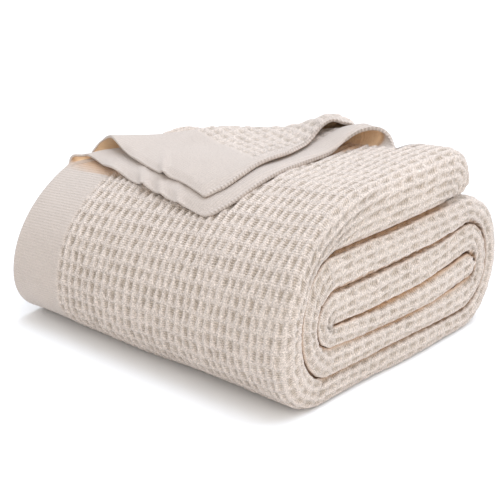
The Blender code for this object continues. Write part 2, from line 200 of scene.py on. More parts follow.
# ---- the cloth ----
CLOTH = 0.0026  # thickness of the cloth between its faces
THINNEST = 0.0001  # half the least thickness, at a flap's rim
HEM = 0.0014  # radius of its rolled hems and selvages
HEM_UNDER = 0.010  # how far the skin runs on behind a hem
END_UNDER = 0.005  # and behind the free end
FOLD_BACK = 0.030  # and how far behind the round folds
FOLD_WAY = 0.030  # room for the way round a fold
# The round folds' reach past the flat, in half thicknesses, and the powers of their outer and
# inner half, where 2 is an ellipse.
OUTER_FOLD = (0.86, 2.25, 3.4)
INNER_FOLD = (0.70, 3.0, 3.2)
PROFILE_POINTS = 600
INNER_BLEND = 0.028  # way over which the outer fold's shape turns into the inner one
END_TUCK, TUCK_RUN = 0.006, (0.055, 0.0)  # the round fold draws in towards the free end
END_SHUT = 0.8  # share of its reach that the fold loses where the free end closes
SKIN_PARTS = {  # where each starts and ends, and its steps per cell across and along
    "blanket_top":   ("last_end", "front_mouth", 8, 12),
    "blanket_front": ("front_mouth", "floor_mouth", 8, 12),
    "blanket_back":  ("floor_mouth", "layer_two_end", 5, 8),
}
INNER_STEPS = (8, 11)
INNER_FINE = LENGTH - 0.045  # the inner winds are fine from here to the round folds
COARSE_COLUMNS = 14
HEM_STEPS, ROLL_STEPS, UNDER_STEPS = 7, 6, 9
PLY_END = END_X - 0.045  # the plies inside stop short of the round folds
PLY_ROWS = 420
FOLD_ARC, HEM_ARC = 13, 9  # points round a ply's fold and round its hem
LAYER_HEIGHT = 0.04  # about what the eight plies measure, for the inner plies' coordinates
CUT_OVERLAP = 0.002  # the skin runs on under the flap's root

# ---- the third ply, which the turned-back corner uncovers ----
UNCOVERED_U = (0.004, LENGTH - 0.040)
UNCOVERED_RUN = 0.075  # how far towards the front it goes
UNCOVERED_STEPS = (6, 9)
UNCOVERED_LIFT = 0.0002
UNCOVERED_RELIEF, UNCOVERED_REST = 0.8, 0.35
UNCOVERED_OVERLAP = 0.010

# ---- the weave ----
PLAIN_LEVEL = 0.70  # height of plain weave, from 0 in the pits to 1 on the ridges
REST_LEVEL = 0.80  # height in the weave that lies on the solid's own face
# Unevenness: how much, size of its patches in metres, and seed. In cells, then in metres.
ACROSS_DRIFT = ((0.16, 0.055, 1), (0.10, 0.016, 2), (0.08, 0.0046, 6))
ALONG_DRIFT = ((0.12, 0.060, 3), (0.08, 0.014, 4), (0.05, 0.0048, 7))
RUMPLE = ((0.0009, 0.070, 11), (0.0006, 0.032, 12))
RUMPLE_FROM = (0.0, 0.03)  # hems lie flat
ZIGZAG = 0.17  # rows step up and down from cell to cell
CELL_DEPTHS, DEPTH_SEED, DEPTH_GRID = (0.70, 1.0), 5, (61, 67)
ACROSS_POWER, ALONG_POWER = 1.5, 2.4
ROW_SKEW = 0.62  # a cell is deepest near its upper side
ROW_SHARE = 0.78  # part of a trough that the ridge between two rows fills
BAND_FADE = 0.7  # cells over which the waffle starts beside the band
FLAP_SHIFT, UNCOVERED_SHIFT = 0.3, 0.1  # metres, so that neighbours don't show the same cells
FLAP_RELIEF = 0.80
FLAP_PLAIN_FADE = 0.007
FLAP_EDGE_PLAIN = (0.004, 0.010)  # way from the free edge over which the waffle starts
SELVAGE_EDGE, SELVAGE_BAND = (0.006, 0.0), (0.001, 0.007)
SELVAGE_THICK = 0.0012
LADDER_PITCH = 0.0023  # threads across the floors of the cells
BAND_RIB_PITCH = 0.0032
SELVAGE_RIB_PITCH = 0.0030

# ---- painted shade where layers meet: 0.5 is the gap shade, 1 the warm shade inside the loops ----
# Each pair of places runs from no painted shade to the whole of it.
FOLD_SHADE = 0.50
OUTER_FOLD_WAY, INNER_FOLD_WAY = (0.74, 0.94), (0.22, 0.02)  # shares of the way round a fold
INNER_SHADE_U, END_SHADE_S = (0.24, 0.27), (0.0, 0.015)
UNDER_FLAP_SHADE = 0.46
BESIDE_BAND, BESIDE_X = (-0.026, 0.0), (-0.088, -0.118)
COVER_EDGE = (-0.0008, 0.0032)  # from outside a flap's edge to inside it
SLOT_SHADE, SLOT_X = 0.80, (0.040, 0.010)
LOOP_SHADE, LOOP_ANGLE, LOOP_EDGE = 0.9, (-0.045, 0.105), (0.0, 0.003)
LOOP_LEFT_X, LOOP_RIGHT_X = (-0.166, -0.156), (0.095, 0.086)
PLY_SHADE, PLY_GAP_SHADE, PLY_GAP_SHADE_X, PLY_GAP_SHADE_RUN = 0.08, 0.42, (0.05, 0.10), 0.02
PLY_LEVEL = 0.55
UNCOVERED_SHADE = 0.05


class BlanketSettings(bpy.types.PropertyGroup):
    """Sizes and colours of the cloth."""

    cell_across: bpy.props.FloatProperty(
        name="Cell Width", description="Width of a waffle cell, from the bands to the folds",
        default=0.0088, min=0.003, max=0.03, unit="LENGTH")
    cell_along: bpy.props.FloatProperty(
        name="Cell Height", description="Height of a waffle cell, along the winding",
        default=0.01375, min=0.003, max=0.04, unit="LENGTH")
    depth: bpy.props.FloatProperty(
        name="Cell Depth", description="Depth of a waffle cell under its ridges",
        default=0.0028, min=0.0, max=0.006, unit="LENGTH")
    band: bpy.props.FloatProperty(
        name="Band Width", description="Width of the plain ribbed band along the hem",
        default=0.052, min=0.0, max=0.2, unit="LENGTH")
    ridge_colour: bpy.props.StringProperty(
        name="Ridge Colour", description="Cotton on the ridges, as hex", default="#D0C2B7")
    plain_colour: bpy.props.StringProperty(
        name="Plain Colour", description="Cotton of the bands, as hex", default="#C0B3A9")
    # Painted shade: the pits' darker, warmer colour stands in for the shade down in the cells.
    painted_pit_shade: bpy.props.StringProperty(
        name="Pit Colour", description="Cotton down in the cells, as hex", default="#B6A696")
    # Painted shade: brown where layers meet, in the seams and under the flaps' edges.
    painted_gap_shade: bpy.props.StringProperty(
        name="Gap Colour", description="Cotton where layers meet, as hex", default="#BC9571")
    # Painted warm shade inside the loops, where only light bounced off the cloth reaches.
    painted_loop_shade: bpy.props.StringProperty(
        name="Inside Colour", description="Cotton inside the loops, as hex", default="#F2D0A8")


def settings():
    """The blanket's sizes and colours."""
    return bpy.context.scene.blanket


# ---- small helpers ----
def linear(colour):
    """Linear RGBA of an sRGB hex colour."""
    part = np.array([int(colour[place:place + 2], 16) / 255 for place in (1, 3, 5)])
    part = np.where(part <= 0.04045, part / 12.92, ((part + 0.055) / 1.055) ** 2.4)
    return (*part.tolist(), 1.0)


def smooth(share):
    """Smooth step from 0 to 1."""
    share = np.clip(share, 0.0, 1.0)
    return share * share * (3.0 - 2.0 * share)


def ramp(value, start, end):
    """Smooth step from 0 at start to 1 at end, which may lie below it."""
    return smooth((value - start) / (end - start))


def soft_noise(u, v, size, seed):
    """Smooth random field from -1 to 1: a random lattice of the given pitch, blended."""
    count = 64
    lattice = np.random.default_rng(seed).uniform(-1.0, 1.0, (count, count))
    u, v = np.broadcast_arrays(np.asarray(u) / size, np.asarray(v) / size)
    u_cell, v_cell = np.floor(u), np.floor(v)
    u_part, v_part = smooth(u - u_cell), smooth(v - v_cell)
    i, j = u_cell.astype(int) % count, v_cell.astype(int) % count
    next_i, next_j = (i + 1) % count, (j + 1) % count
    low = lattice[i, j] * (1 - u_part) + lattice[next_i, j] * u_part
    high = lattice[i, next_j] * (1 - u_part) + lattice[next_i, next_j] * u_part
    return low * (1 - v_part) + high * v_part


def unevenness(table, u, v):
    """Sum of soft random fields, one for each row of a table: how much, patch size and seed."""
    return sum(share * soft_noise(u, v, size, seed) for share, size, seed in table)


def grid_normals(points):
    """Unit normals of a grid: its way along the rows crossed with its way along the columns."""
    normal = np.cross(np.gradient(points, axis=0), np.gradient(points, axis=1))
    return normal / np.maximum(np.linalg.norm(normal, axis=-1, keepdims=True), 1e-12)


# ---- the winding ----
def seam_height(name, y):
    """Height of a seam at y: the parabola through its front, middle and back heights."""
    return np.polyval(np.polyfit(SEAM_Y, SEAM_TABLE[name], 2), np.clip(y, SEAM_Y[0], SEAM_Y[2]))


def face_height(name, side, y):
    """Height at y of the face above (side +1) or below (side -1) a seam."""
    return seam_height(name, y) + side * (0.0 if name in OPEN_SEAMS else LAYER_GAP / 2)


def turn(name):
    """A turn's row by column name, with its side and where its roundings start."""
    row = dict(zip(TURN_COLUMNS, TURN_TABLE[name]))
    row["side"] = 1.0 if row["reach_y"] > 0 else -1.0
    row["start_above"] = row["reach_y"] - row["side"] * row["run_above"]
    row["start_below"] = row["reach_y"] - row["side"] * row["run_below"]
    return row


def turn_curve(name, grow, share):
    """Quarter ellipses from the seam above (share 0) through the reach (0.5) to below (1)."""
    row = turn(name)
    gap = 0.0 if name in OUTERMOST else grow * LAYER_GAP / 2
    angle = pi * np.asarray(share, dtype=float)
    upper = angle <= pi / 2
    start = np.where(upper, row["start_above"], row["start_below"])
    edge = np.where(upper, face_height(row["above"], grow, row["start_above"]),
                    face_height(row["below"], -grow, row["start_below"]))
    y = start + (row["reach_y"] + row["side"] * gap - start) * np.sin(angle)
    z = row["reach_z"] + (edge - row["reach_z"]) * np.abs(np.cos(angle))
    return np.stack([y, z], axis=-1)


def turn_faces(outer, inner):
    """Points on the outer and inner face round a turn, from above to below."""
    share = np.linspace(0.0, 1.0, TURN_STEPS + 1)
    return np.stack([turn_curve(outer, -1, share), turn_curve(inner, 1, share)], axis=1)


def run_faces(where, outer, inner, slant=0.0):
    """Points on the outer and inner face along a flat run, without its ends.

    Each face is its seam, its side of that seam, and the two turns that it lies between, which
    it meets above or below. With a slant the inner face starts that much sooner.
    """
    share = np.linspace(0.0, 1.0, RUN_STEPS + 2)[1:-1]
    faces = []
    for (seam, side, first, last), sooner in ((outer, 0.0), (inner, slant)):
        start, end = turn(first)["start_" + where] - sooner, turn(last)["start_" + where]
        y = start + (end - start) * share
        faces.append(np.stack([y, face_height(seam, side, y)], axis=-1))
    return np.stack(faces, axis=1)


def last_end_faces():
    """The free end on top, rounded down to the layer below."""
    row = turn("last_end")
    share = np.linspace(END_SHARE, 0.0, TURN_STEPS + 1)
    outer = turn_curve("last_end", -1, share)
    outer[:, 1] += LAYER_GAP * np.clip(share - 0.5, 0.0, None)
    inner_y = np.linspace(row["start_below"], row["start_above"] - LAST_END_SLANT, len(share))
    inner = np.stack([inner_y, face_height("one_two", 1, inner_y)], axis=-1)
    return np.stack([outer, inner], axis=1)


def first_end_faces():
    """The free end in the middle of the winding."""
    share = np.linspace(1.0, END_SHARE, TURN_STEPS // 2)
    below, above = (turn_curve("back_in", -1, part) for part in (share, 1.0 - share))
    return np.stack([below, above], axis=1)


class Winding(NamedTuple):
    """The winding by arc length s on its outer face, from the free end on top inwards.

    It has points on its outer and inner face, its thickness square to the way that it runs, and
    s where each named stretch starts.
    """

    s: np.ndarray
    faces: np.ndarray
    thick: np.ndarray
    starts: dict


@functools.lru_cache(maxsize=1)
def spiral():
    """The winding, put together from its turns and flat runs."""
    stretches = {
        "last_end": last_end_faces(),
        "top": run_faces("above", ("top", 1, "last_end", "front"),
                         ("one_two", 1, "last_end", "front_mid"), LAST_END_SLANT),
        "front": turn_faces("front", "front_mid"),
        "floor": run_faces("below", ("floor", 1, "front", "back"),
                           ("five_six", -1, "front_mid", "back_mid")),
        "back": turn_faces("back", "back_mid")[::-1],
        "layer_two": run_faces("above", ("one_two", -1, "back", "front_mid"),
                               ("two_three", 1, "back_mid", "front_in")),
        "front_mid": turn_faces("front_mid", "front_in"),
        "layer_five": run_faces("below", ("five_six", 1, "front_mid", "back_mid"),
                                ("four_five", -1, "front_in", "back_in")),
        "back_mid": turn_faces("back_mid", "back_in")[::-1],
        "layer_three": run_faces("above", ("two_three", -1, "back_mid", "front_in"),
                                 ("three_four", 1, "back_in", "front_tip")),
        "front_in": turn_faces("front_in", "front_tip"),
        "layer_four": run_faces("below", ("four_five", 1, "front_in", "back_in"),
                                ("three_four", -1, "front_tip", "back_in")),
        "first_end": first_end_faces(),
    }
    faces = np.concatenate(list(stretches.values()))
    s = np.concatenate([[0.0], np.cumsum(np.linalg.norm(np.diff(faces[:, 0], axis=0), axis=1))])
    first = np.cumsum([0] + [len(part) for part in stretches.values()])
    starts = {name: s[place] for name, place in zip(stretches, first)}
    starts["end"] = s[-1]
    for name, (stretch, past) in MOUTHS.items():
        starts[name] = starts[stretch] + past
    along = np.gradient(faces.mean(axis=1), axis=0)
    across = faces[:, 0] - faces[:, 1]
    thick = np.abs(along[:, 0] * across[:, 1] - along[:, 1] * across[:, 0])
    thick = thick / np.linalg.norm(along, axis=1)
    window = np.ones(THICK_WINDOW) / THICK_WINDOW
    thick = np.convolve(np.pad(thick, THICK_WINDOW // 2, mode="edge"), window, mode="valid")
    return Winding(s, faces, thick, starts)


def read(values, s):
    """Values along the winding at arc lengths s."""
    at = spiral().s
    return np.stack([np.interp(s, at, column) for column in values.reshape(len(at), -1).T], axis=-1)


def thickness(s):
    """The winding's thickness at s, and at the free end where s is under 0."""
    return read(spiral().thick, np.maximum(s, 0.0))[..., 0]


def faces_at(s):
    """Points on the outer and inner face at s. Under 0 they roll round the free end's selvage."""
    faces = spiral().faces
    points = read(faces, np.maximum(s, 0.0)).reshape(*np.shape(s), 2, 2)
    way = faces[0, 0] - faces[END_WAY, 0]
    way = way / np.linalg.norm(way)
    inward = np.array([-way[1], way[0]])
    rolled = np.clip(-np.asarray(s), 0.0, None)
    angle = np.clip(rolled / HEM, 0.0, pi)
    under = np.clip(rolled - pi * HEM, 0.0, None)
    shift = ((HEM * np.sin(angle) - under)[..., None] * way
             - (HEM * (1.0 - np.cos(angle)))[..., None] * inward)
    return points + shift[..., None, :]


def settle(x, y, z):
    """The pad is lower and a little less deep at its plain bands than at its folds."""
    share = np.clip((x + END_X) / LENGTH, 0.0, 1.0)
    deep = BAND_END_DEPTH + (1.0 - BAND_END_DEPTH) * share
    high = BAND_END_HEIGHT + (1.0 - BAND_END_HEIGHT) * share
    set_back = END_SET_BACK * ramp(y, *SET_BACK_Y)
    return np.stack([x - set_back * share * share, y * deep, z * high], axis=-1)


def flat_y(s):
    """Unrolled y of the top face: y on the flat, and arc length round the free end.

    The same sum turns it back into s.
    """
    return turn("last_end")["start_above"] + spiral().starts["top"] - s


def ply_level(ply):
    """Level of a ply's middle through the layer: 1 at the outer face, 0 at the inner."""
    return 1.0 - HALF_PLY - ply * PLY_PITCH


def in_layer(x, level, s):
    """Points at x and a level through the layer, at arc length s along the winding."""
    faces = faces_at(s)
    yz = faces[..., 1, :] + (faces[..., 0, :] - faces[..., 1, :]) * level[..., None]
    return settle(x, yz[..., 0], yz[..., 1])


# ---- the weave ----
def waffle(u, v):
    """Height of the weave from 0 in the pits to 1 on the ridges, at u from the hem and v.

    In each cell the height is one less the product of a trough across it and a trough along it,
    which is steep at its upper side and rises slowly to the next row. Some cells are deeper than
    others. The band is plain. The share of the waffle, 0 on the band, comes back too.
    """
    cloth = settings()
    across = u / cloth.cell_across + unevenness(ACROSS_DRIFT, u, v)
    along = (v / cloth.cell_along + unevenness(ALONG_DRIFT, u, v)
             + ZIGZAG * np.cos(2 * pi * across))
    depth = np.random.default_rng(DEPTH_SEED).uniform(*CELL_DEPTHS, DEPTH_GRID)
    depth = depth[np.floor(across).astype(int) % DEPTH_GRID[0],
                  np.floor(along).astype(int) % DEPTH_GRID[1]]
    from_middle = np.abs(2.0 * (across % 1.0) - 1.0)
    from_row = np.abs(2.0 * (along % 1.0) ** ROW_SKEW - 1.0)
    trough_across = 1.0 - from_middle ** ACROSS_POWER
    trough_along = 1.0 - ROW_SHARE * from_row ** ALONG_POWER
    height = 1.0 - depth * trough_across * trough_along
    waffled = smooth((u - cloth.band) / (BAND_FADE * cloth.cell_across))
    return PLAIN_LEVEL + (height - PLAIN_LEVEL) * waffled, waffled


def cloth_mesh(name, points, faces, marks, across, along):
    """A mesh of quads with cloth UVs in metres, and its marks in one attribute.

    The marks are the weave's height, the painted shade where layers meet, the selvage, and the
    share of the waffle. All are arrays of the points' own grid, or one number.
    """
    mesh = bpy.data.meshes.new(name)
    grid = points.shape[:-1]
    mesh.vertices.add(points.size // 3)
    mesh.vertices.foreach_set("co", points.astype(np.float32).ravel())
    mesh.loops.add(faces.size)
    mesh.loops.foreach_set("vertex_index", faces.astype(np.int32).ravel())
    mesh.polygons.add(len(faces))
    mesh.polygons.foreach_set("loop_start", np.arange(0, faces.size, 4, dtype=np.int32))
    mesh.polygons.foreach_set("use_smooth", np.ones(len(faces), dtype=bool))
    mesh.update(calc_edges=True)
    colour = mesh.color_attributes.new("cloth", "FLOAT_COLOR", "POINT")
    marks = np.stack([np.broadcast_to(mark, grid) for mark in marks], axis=-1)
    colour.data.foreach_set("color", marks.astype(np.float32).ravel())
    layer = mesh.uv_layers.new(name="cloth_metres")
    uv = np.stack([across, along], axis=-1).reshape(-1, 2)[faces.ravel()]
    layer.data.foreach_set("uv", uv.astype(np.float32).ravel())
    return mesh


def grid_faces(rows, columns, keep=None, first=0, flip=False):
    """Quads of a grid, with its rows crossed with its columns as their outer side."""
    index = first + np.arange(rows * columns).reshape(rows, columns)
    quads = np.stack([index[:-1, :-1], index[1:, :-1], index[1:, 1:], index[:-1, 1:]], axis=-1)
    quads = quads[keep] if keep is not None else quads.reshape(-1, 4)
    return quads[:, ::-1] if flip else quads


def flat_share(mesh, sides):
    """Flat width, length and area of a piece, from its cloth coordinates."""
    uv = np.empty(len(mesh.loops) * 2, dtype=np.float32)
    mesh.uv_layers["cloth_metres"].data.foreach_get("uv", uv)
    corner = uv.reshape(-1, 4, 2)
    one, other = corner[:, 2] - corner[:, 0], corner[:, 3] - corner[:, 1]
    area = 0.5 * np.abs(one[:, 0] * other[:, 1] - one[:, 1] * other[:, 0]).sum() / sides
    width, length = (corner.reshape(-1, 2).max(axis=0) - corner.reshape(-1, 2).min(axis=0)).tolist()
    return (width, length), min(float(area), width * length)


def add_piece(mesh, sides=1):
    """Link a piece, hand it to the frame, and work out how much of the flat cloth it shows."""
    piece = bpy.data.objects.new(mesh.name, mesh)
    bpy.context.scene.collection.objects.link(piece)
    mesh.materials.append(waffle_cotton())
    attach(piece, BODY)
    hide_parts(NODE)
    flat, area = flat_share(mesh, sides)


# ---- the skin: the outer ply and its round folds ----
@functools.lru_cache(maxsize=2)
def fold_profile(inner_wind):
    """Half of a superellipse round a fold: share of the way, reach past the flat, and level.

    |x / reach| ** n + |z| ** n = 1, for a layer from z = -1 to 1, with one power n on its outer
    half and another on its inner half. The length of the way comes last.
    """
    longest, outer_power, inner_power = INNER_FOLD if inner_wind else OUTER_FOLD
    angle = np.linspace(0.0, pi, PROFILE_POINTS)
    power = 2.0 / np.where(angle < pi / 2, outer_power, inner_power)
    reach = longest * np.sin(angle) ** power
    level = np.sign(np.cos(angle)) * np.abs(np.cos(angle)) ** power
    way = np.concatenate([[0.0], np.cumsum(np.hypot(np.diff(reach), np.diff(level)))])
    return way / way[-1], reach, level, way[-1]


def skin_points(u, s):
    """Points of the outer ply at u from the hem and s along the winding, before the weave.

    u runs along the face, round the fold on a plump half oval as high as the layer, and back
    inside. Under 0 it rolls round the hem and runs on behind it. With s under 0, past the free
    end, it draws in to the middle of the layer. The share of the way round the fold comes back
    too, and how far inside the winding it lies.
    """
    thick = thickness(s)
    half = thick / 2
    inside = smooth((s - spiral().starts["layer_two"]) / INNER_BLEND)
    outer, inner = fold_profile(False), fold_profile(True)
    length = outer[3] + (inner[3] - outer[3]) * inside
    flat = LENGTH - HEM - half * (OUTER_FOLD[0] + (INNER_FOLD[0] - OUTER_FOLD[0]) * inside)
    flat = flat - END_TUCK * ramp(s, *TUCK_RUN)
    share = (u - flat) / (half * length)
    back = half * length * np.clip(share - 1.0, 0.0, None)
    reach, oval = (np.interp(share, outer[0], outer[part])
                   + (np.interp(share, inner[0], inner[part])
                      - np.interp(share, outer[0], outer[part])) * inside for part in (1, 2))
    rolled = np.clip(-u, 0.0, None)
    hem = np.clip(rolled / HEM, 0.0, pi)
    under = np.clip(rolled - pi * HEM, 0.0, None)
    x = (-END_X + HEM + np.clip(u, 0.0, flat) + half * reach - back
         - HEM * np.sin(hem) + under)
    level = 0.5 + 0.5 * oval - HEM * (1.0 - np.cos(hem)) / thick
    shut = ramp(s, 0.0, -pi * HEM - END_UNDER)
    level = 0.5 + (level - 0.5) * (1.0 - shut)
    x = x - half * reach * END_SHUT * shut
    return in_layer(x, level, s), share, inside


def fold_line(which, y):
    """x of a flap's fold at unrolled y, and far to the left where y is before its first row."""
    fold_x, fold_y = flap_rows(which, FOLD_LINE_ROWS)[:2]
    return np.interp(y, fold_y, fold_x, left=-1.0)


def all_corners(kept):
    """Which quads of a grid have all four corners kept."""
    return kept[:-1, :-1] & kept[1:, :-1] & kept[1:, 1:] & kept[:-1, 1:]


def skin_mesh(name, u, s, cut):
    """A stretch of the skin with its weave; what the turned-back corner leaves open is cut."""
    u, s = np.broadcast_arrays(u[None, :], s[:, None])
    points, share, inside = skin_points(u, s)
    height, waffled = waffle(np.maximum(u, 0.0), s)
    lift = (settings().depth * (height - REST_LEVEL) * ramp(u, -pi * HEM, 0.0)
            + unevenness(RUMPLE, u, s) * ramp(u, *RUMPLE_FROM))
    points = points + grid_normals(points) * lift[..., None]
    # Painted shade in the seams: darker on the way round each fold where it meets the next layer.
    inner_seam_shade = inside * ramp(share, *INNER_FOLD_WAY) * ramp(u, *INNER_SHADE_U)
    gap = FOLD_SHADE * np.maximum(ramp(share, *OUTER_FOLD_WAY), inner_seam_shade) * ramp(s, *END_SHADE_S)
    keep = None
    if cut:
        x, y = points[..., 0], flat_y(s)
        from_band = edge_ways("lower", x, y)[0]
        # Painted shade beside the band and under the lower flap's edges.
        shaded = np.maximum(ramp(from_band, *BESIDE_BAND) * ramp(x, *BESIDE_X),
                            covered("lower", x, y))
        gap = np.maximum(gap, UNDER_FLAP_SHADE * shaded)
        keep = all_corners(x > fold_line("lower", y) - CUT_OVERLAP)
    return cloth_mesh(name, points, grid_faces(*u.shape, keep), (height, gap, 0.0, waffled), u, s)


def skin_columns(per_cell, coarse_until=None):
    """u of the skin's columns: the hem's roll, then even steps to behind the round folds."""
    even = np.arange(0.0, LENGTH + FOLD_BACK + FOLD_WAY, settings().cell_across / per_cell)
    if coarse_until is not None:
        coarse = np.linspace(0.0, coarse_until, COARSE_COLUMNS)[:-1]
        even = np.concatenate([coarse, even[even >= coarse_until]])
    hem = -HEM * pi * np.linspace(1.0, 0.0, HEM_STEPS)[:-1]
    return np.concatenate([[-HEM * pi - HEM_UNDER], hem, even])


def even_steps(start, end, step):
    """Arc lengths in even steps from one named place of the winding to another."""
    starts = spiral().starts
    return step * np.arange(round(starts[start] / step), round(starts[end] / step) + 1)


def build_skin():
    """The outer wind in three stretches, and the inner winds fine only at their round folds."""
    cell = settings().cell_along
    for name, (start, end, per_across, per_along) in SKIN_PARTS.items():
        s = even_steps(start, end, cell / per_along)
        top = name == "blanket_top"
        if top:
            roll = -HEM * pi * np.linspace(1.0, 0.0, ROLL_STEPS)[:-1]
            under = -HEM * pi - END_UNDER * np.linspace(1.0, 0.0, UNDER_STEPS)[:-1]
            s = np.concatenate([under, roll, s])
        add_piece(skin_mesh(name, skin_columns(per_across), s, top))
    per_across, per_along = INNER_STEPS
    s = even_steps("layer_two_end", "end", cell / per_along)
    add_piece(skin_mesh("inner_winds", skin_columns(per_across, INNER_FINE), s, False))


# ---- the plies that show at the bands ----
def section(inset, middle, radius, stand, count):
    """Outline round a fold or hem, between its two flat runs: x, level and roundness."""
    angle = np.linspace(pi / 2, -pi / 2, count)
    nose = np.stack([np.full(count, inset - END_X), middle + radius * np.sin(angle),
                     stand - radius * np.cos(angle)], axis=-1)
    above, below = ([[x, middle + side * radius, 0.0] for x in (PLY_END, 0.0)] for side in (1, -1))
    return np.concatenate([above, nose, below[::-1]])


def fold_outline(start, end, reach):
    """Closed outline of two plies joined by a fold at the bands.

    The reach is that of the outermost fold round them, in steps from ply to ply.
    """
    middle = (ply_level(start) + ply_level(end)) / 2
    spread = abs(ply_level(start) - ply_level(end)) / 2
    outer, inner = (section(FOLD_INSET, middle, spread + half, reach * PLY_PITCH + HALF_PLY,
                            FOLD_ARC) for half in (HALF_PLY, -HALF_PLY))
    return np.concatenate([outer, inner[::-1]])


def hem_outline(ply):
    """Closed outline of a ply that ends at the bands in a rolled hem."""
    return section(HEM_INSET, ply_level(ply), HALF_PLY, 0.0, HEM_ARC)


def ply_mesh(name, outline, flap=None):
    """An outline carried along the whole winding, or held back to a flap's fold line."""
    starts = spiral().starts
    s = np.linspace(0.0, starts["end"] - CUT_OVERLAP, PLY_ROWS)[:, None]
    x = outline[None, :, 0] + outline[None, :, 2] * thickness(s)
    if flap:
        x = np.maximum(x, fold_line(flap, flat_y(s)))
    level = np.broadcast_to(outline[None, :, 1], x.shape)
    s = np.broadcast_to(s, x.shape)
    points = in_layer(x, level, s)
    rows, columns = x.shape
    index = np.arange(rows * columns).reshape(rows, columns)
    ahead = np.roll(index, -1, axis=1)
    quads = np.stack([index[:-1], index[1:], ahead[1:], ahead[:-1]], axis=-1).reshape(-1, 4)
    half = columns // 2
    caps = []
    for ring, flip in ((index[0], 1), (index[-1], -1)):
        back = ring[::-1]
        cap = np.stack([ring[:half - 1], ring[1:half], back[1:half], back[:half - 1]], axis=-1)
        caps.append(cap[:, ::flip])
    # Painted shade on the plies: a little everywhere, and brown towards the round folds inside the
    # winding.
    inward = smooth((s - starts["front"]) / PLY_GAP_SHADE_RUN)
    gap = PLY_SHADE + PLY_GAP_SHADE * ramp(x, *PLY_GAP_SHADE_X) * inward
    steps = np.diff(np.stack([outline[:, 0], LAYER_HEIGHT * outline[:, 1]], axis=1), axis=0)
    round_it = np.concatenate([[0.0], np.cumsum(np.linalg.norm(steps, axis=1))])
    across = np.broadcast_to(np.minimum(round_it, round_it[-1] - round_it), x.shape)
    return cloth_mesh(name, points, np.concatenate([quads, *caps]), (PLY_LEVEL, gap, 0.0, 0.0),
                      across, s)


def build_plies():
    """The hemmed second ply, held back at the upper fold, and the three folds beside it."""
    add_piece(ply_mesh("ply_two", hem_outline(1), "upper"), 2)
    for name, *fold in (("plies_three_four", 2, 3, 0.5), ("plies_five_eight", 4, 7, 1.5),
                        ("plies_six_seven", 5, 6, 1.5)):
        add_piece(ply_mesh(name, fold_outline(*fold)), 2)


def build_uncovered():
    """The third ply's face where the turned-back corner uncovers it, with its weave."""
    u = np.arange(*UNCOVERED_U, settings().cell_across / UNCOVERED_STEPS[0])
    s = np.arange(0.0, flat_y(-UNCOVERED_RUN), settings().cell_along / UNCOVERED_STEPS[1])
    u, s = np.broadcast_arrays(u[None, :], s[:, None])
    level = ply_level(2) + HALF_PLY + UNCOVERED_LIFT / thickness(s)
    points = in_layer(-END_X + FOLD_INSET + u, level, s)
    height, waffled = waffle(u + UNCOVERED_SHIFT, s)
    lift = settings().depth * UNCOVERED_RELIEF * (height - UNCOVERED_REST)
    points = points + grid_normals(points) * lift[..., None]
    keep = all_corners(points[..., 0] < fold_line("lower", flat_y(s)) + UNCOVERED_OVERLAP)
    add_piece(cloth_mesh("uncovered_ply", points, grid_faces(*u.shape, keep),
                         (height, UNCOVERED_SHADE, 0.0, waffled), u, s))


# ---- the flaps ----
def smooth_rows(rows, count):
    """Catmull-Rom curve through a table's rows, at evenly spaced places."""
    ends = np.concatenate([2 * rows[:1] - rows[1:2], rows, 2 * rows[-1:] - rows[-2:-1]])
    place = np.linspace(0.0, len(rows) - 1.0, count)
    first = np.minimum(place.astype(int), len(rows) - 2)
    t = (place - first)[:, None]
    before, start, end, after = (ends[first + step] for step in range(4))
    return 0.5 * (2 * start + (end - before) * t
                  + (2 * before - 5 * start + 4 * end - after) * t ** 2
                  + (3 * start - before - 3 * end + after) * t ** 3)


def flap_rows(which, count):
    """The columns of a flap's table, smoothed."""
    return smooth_rows(np.array(FLAP_TABLE[which]) * FLAP_UNITS, count).T


def edge_ways(which, x, y):
    """Ways from a place on the flat top face to a flap's banded edge and to its selvage."""
    corner_x, corner_y, run, _ = FLAP_CORNER[which]
    x, y, run = x - corner_x, y - corner_y, radians(run)
    return y * cos(run) - x * sin(run), -(x * cos(run) + y * sin(run))


def covered(which, x, y):
    """How far a place lies under a flap: 0 outside its edges, 1 from a few mm inside them."""
    return ramp(np.minimum(*edge_ways(which, x, y)), *COVER_EDGE)


def on_top(x, y, height):
    """Points at a height over the top face, at x and unrolled y."""
    outer = spiral().faces[:, 0]
    way = np.gradient(outer, axis=0)
    way = way / np.linalg.norm(way, axis=1, keepdims=True)
    spot = read(np.concatenate([outer, way], axis=1), flat_y(y))
    return settle(x, spot[..., 0] + height * spot[..., 3], spot[..., 1] - height * spot[..., 2])


